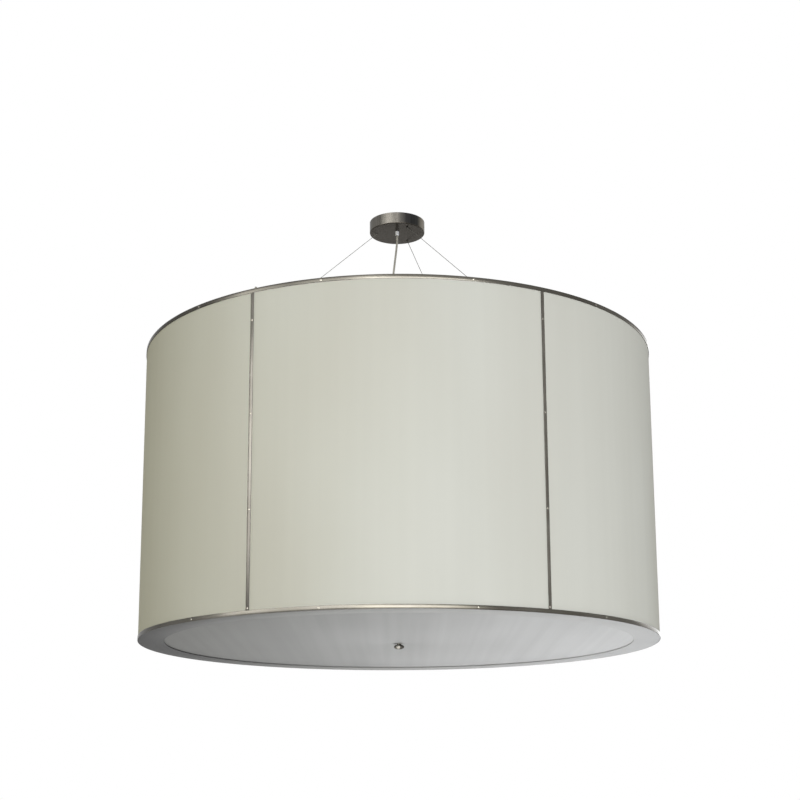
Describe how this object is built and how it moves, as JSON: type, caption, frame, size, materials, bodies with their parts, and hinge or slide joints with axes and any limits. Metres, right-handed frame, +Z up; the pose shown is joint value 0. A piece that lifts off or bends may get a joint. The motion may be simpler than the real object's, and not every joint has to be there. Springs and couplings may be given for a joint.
{
  "type": "drum chandelier",
  "caption": "Large round drum pendant light with curved shade panels in a metal frame, a flat diffuser below and splayed cables from a ceiling canopy.",
  "frame": {"origin": "on the ceiling, in the middle of the mounting plate's top face", "axes": "+Z up towards the ceiling, -Y towards the viewer of the picture, +X to that viewer's right; a cable comes down at -X"},
  "size_m": [1.524, 1.524, 1.3421],
  "materials": {
    "zinc_plate": "zinc plated steel",
    "canopy_nickel": "dark satin nickel",
    "rim_nickel": "brushed nickel",
    "bright_nickel": "polished nickel",
    "cable_steel": "stranded steel",
    "cord": "soft matt jacket",
    "flange_grey": "satin grey",
    "frame_paint": "satin white enamel",
    "shade": "warm white, matt, translucent",
    "diffuser": "frosted white, translucent",
    "porcelain": "glazed white",
    "lamp_glass": "opal white"
  },
  "bodies": {
    "fixture": {"arm_1": "frame_paint", "arm_2": "frame_paint", "arm_3": "frame_paint", "arm_4": "frame_paint", "arm_5": "frame_paint", "arm_6": "frame_paint", "bottom_band": "rim_nickel", "bottom_ring": "flange_grey", "cable_1": "cable_steel", "cable_2": "cable_steel", "cable_3": "cable_steel", "cable_fork_1": "bright_nickel", "cable_fork_2": "bright_nickel", "cable_fork_3": "bright_nickel", "cable_gripper_1": "bright_nickel", "cable_gripper_2": "bright_nickel", "cable_gripper_3": "bright_nickel", "canopy": "canopy_nickel", "ceiling_plate": "zinc_plate", "centre_rod": "bright_nickel", "hub_cover": "frame_paint", "hub_gland": "porcelain", "hub_plate": "frame_paint", "lampholder_1": "porcelain", "lampholder_2": "porcelain", "lampholder_3": "porcelain", "lampholder_4": "porcelain", "lampholder_5": "porcelain", "lampholder_6": "porcelain", "power_cord": "cord", "shade_panel_1": "shade", "shade_panel_2": "shade", "shade_panel_3": "shade", "shade_panel_4": "shade", "shade_panel_5": "shade", "shade_panel_6": "shade", "top_band": "rim_nickel", "top_ring": "frame_paint", "trim_strip_1": "rim_nickel", "trim_strip_2": "rim_nickel", "trim_strip_3": "rim_nickel", "trim_strip_4": "rim_nickel", "trim_strip_5": "rim_nickel", "trim_strip_6": "rim_nickel", "upright_1": "frame_paint", "upright_2": "frame_paint", "upright_3": "frame_paint", "upright_4": "frame_paint", "upright_5": "frame_paint", "upright_6": "frame_paint"},
    "diffuser": {"diffuser": "diffuser"},
    "washer": {"finial_washer": "bright_nickel"},
    "finial": {"finial": "bright_nickel"},
    "cord_grip": {"cord_grip": "bright_nickel"},
    "lamp_1": {"lamp_1": "lamp_glass"},
    "lamp_2": {"lamp_2": "lamp_glass"},
    "lamp_3": {"lamp_3": "lamp_glass"},
    "lamp_4": {"lamp_4": "lamp_glass"},
    "lamp_5": {"lamp_5": "lamp_glass"},
    "lamp_6": {"lamp_6": "lamp_glass"}
  },
  "joints": [
    {"name": "diffuser_lift", "type": "slide", "parent": "fixture", "child": "diffuser", "axis": [0, 0, 1], "range_m": [0, 0.54]},
    {"name": "finial_drop", "type": "slide", "parent": "fixture", "child": "washer", "axis": [0, 0, -1], "range_m": [0, 0.00636]},
    {"name": "finial_turn", "type": "hinge", "parent": "washer", "child": "finial", "pos_m": [0, 0, -1.3308], "axis": [0, 0, -1], "range_deg": [0, 1800]},
    {"name": "cord_grip_turn", "type": "hinge", "parent": "fixture", "child": "cord_grip", "pos_m": [0, -0.016, -0.0413], "axis": [0, 0, -1], "range_deg": [0, 1080]},
    {"name": "lamp_1_turn", "type": "hinge", "parent": "fixture", "child": "lamp_1", "pos_m": [0.38, 0, -0.6991], "axis": [0, 0, -1], "range_deg": [0, 900]},
    {"name": "lamp_2_turn", "type": "hinge", "parent": "fixture", "child": "lamp_2", "pos_m": [0.19, 0.32909, -0.6991], "axis": [0, 0, -1], "range_deg": [0, 900]},
    {"name": "lamp_3_turn", "type": "hinge", "parent": "fixture", "child": "lamp_3", "pos_m": [-0.19, 0.32909, -0.6991], "axis": [0, 0, -1], "range_deg": [0, 900]},
    {"name": "lamp_4_turn", "type": "hinge", "parent": "fixture", "child": "lamp_4", "pos_m": [-0.38, 0, -0.6991], "axis": [0, 0, -1], "range_deg": [0, 900]},
    {"name": "lamp_5_turn", "type": "hinge", "parent": "fixture", "child": "lamp_5", "pos_m": [-0.19, -0.32909, -0.6991], "axis": [0, 0, -1], "range_deg": [0, 900]},
    {"name": "lamp_6_turn", "type": "hinge", "parent": "fixture", "child": "lamp_6", "pos_m": [0.19, -0.32909, -0.6991], "axis": [0, 0, -1], "range_deg": [0, 900]}
  ],
  "couplings": [
    {"joint": "finial_drop", "follows": "finial_turn", "m_per_rad": 0.00020213}
  ]
}
